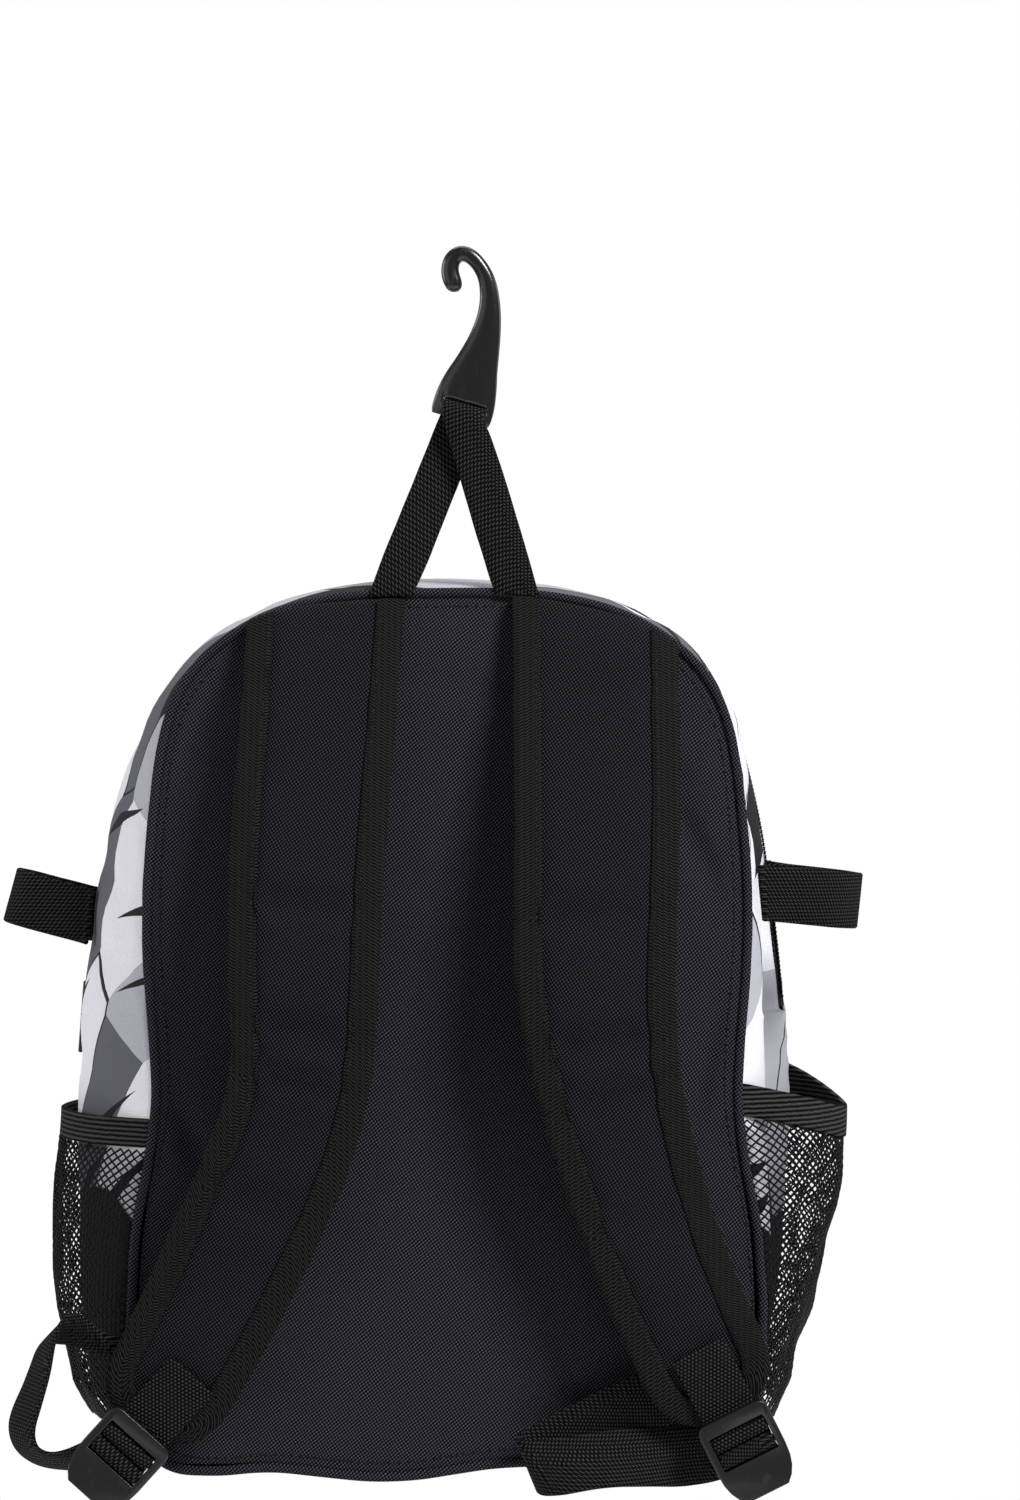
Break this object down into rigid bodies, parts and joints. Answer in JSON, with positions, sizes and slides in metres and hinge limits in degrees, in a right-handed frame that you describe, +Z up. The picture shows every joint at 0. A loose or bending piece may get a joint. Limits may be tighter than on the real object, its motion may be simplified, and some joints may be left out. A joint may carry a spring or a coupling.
{
  "type": "baseball bat backpack",
  "caption": "Soft youth backpack hung by a fence hook, with padded shoulder straps, printed sides, net bat pockets and bat loops, a zipped front and ladder-lock adjusters.",
  "frame": {"origin": "seat of the fence hook, where the rail that holds the bag touches the inside of the hook's bend", "axes": "+Z up along the bag's height, +Y from the shoulder straps and back panel towards the zipped front, +X to the right seen from the strap side"},
  "size_m": [0.3987, 0.2115, 0.5596],
  "materials": {
    "panel_cloth": "plain black twill, soft sheen",
    "print_cloth": "printed woven cloth in white, greys and black",
    "strap_cloth": "twill over closed foam",
    "binding_tape": "ribbed edge tape",
    "webbing": "flat woven webbing",
    "pocket_net": "fine stretch mesh",
    "pocket_elastic": "ribbed elastic band",
    "zip_tape": "woven zip tape with a coil",
    "zip_plastic": "satin",
    "buckle_plastic": "satin moulded plastic",
    "hook_plastic": "satin moulded plastic"
  },
  "bodies": {
    "root": {"back_panel": "panel_cloth", "front_panel": "panel_cloth", "base_panel": "panel_cloth", "gusset_rear": "print_cloth", "gusset_front": "print_cloth", "zip_tape": "zip_tape", "zip_slider": "zip_plastic", "zip_pull": "zip_plastic", "fence_hook": "hook_plastic", "hang_loop": "webbing", "bat_loop_left": "webbing", "bat_loop_right": "webbing", "strap_left": "strap_cloth", "strap_binding_left": "binding_tape", "ladder_lock_left": "buckle_plastic", "strap_patch_left": "panel_cloth", "strap_webbing_left": "webbing", "pocket_net_left": "pocket_net", "pocket_band_left": "pocket_elastic", "strap_right": "strap_cloth", "strap_binding_right": "binding_tape", "ladder_lock_right": "buckle_plastic", "strap_patch_right": "panel_cloth", "strap_webbing_right": "webbing", "pocket_net_right": "pocket_net", "pocket_band_right": "pocket_elastic"}
  },
  "joints": []
}
